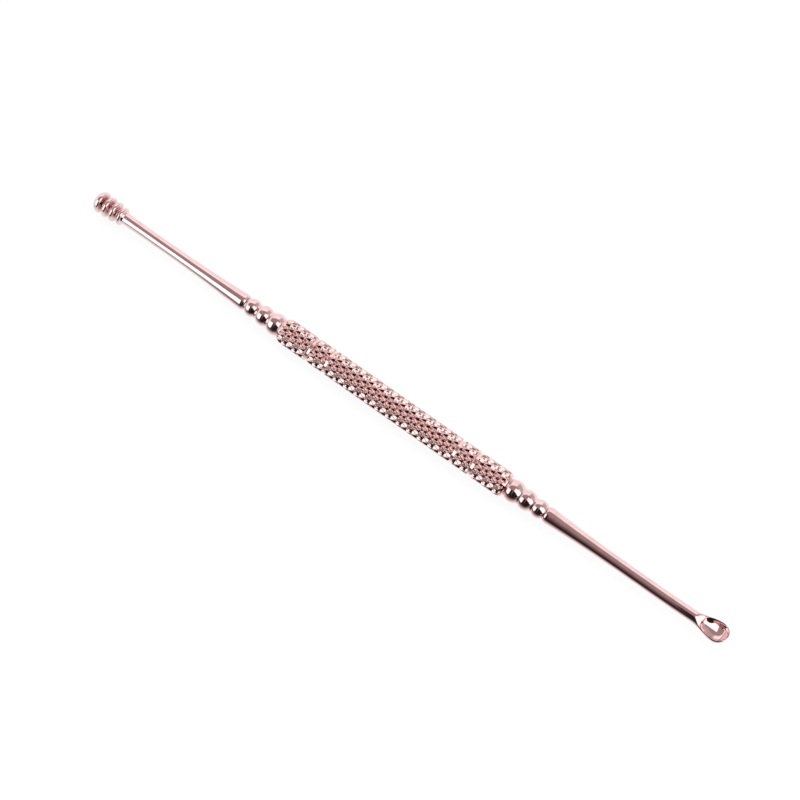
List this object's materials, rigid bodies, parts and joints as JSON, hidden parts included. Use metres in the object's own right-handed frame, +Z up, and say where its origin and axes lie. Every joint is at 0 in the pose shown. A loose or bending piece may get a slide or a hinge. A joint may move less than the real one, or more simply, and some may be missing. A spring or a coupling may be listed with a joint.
{
  "type": "double-ended ear pick",
  "caption": "Slim metal ear pick with a diamond-knurled grip between beaded collars, a stack of cleaning rings at one end and a small round scoop at the other, in polished rose gold.",
  "frame": {"origin": "midway along the tool, on the surface that the grip rests on", "axes": "+X runs along the tool from the ring tip to the scoop tip, +Z is up and is the side that the scoop's bowl opens to"},
  "size_m": [0.1464, 0.005, 0.0051],
  "materials": {
    "turned_rose_gold": "polished rose-gold plating on turned steel",
    "knurled_rose_gold": "bright rose-gold plating over a diamond knurl"
  },
  "bodies": {
    "root": {"ring_tip": "turned_rose_gold", "ring_end_bead_collar": "turned_rose_gold", "knurled_grip": "knurled_rose_gold", "scoop_end_bead_collar": "turned_rose_gold", "scoop_tip": "turned_rose_gold"}
  },
  "joints": []
}
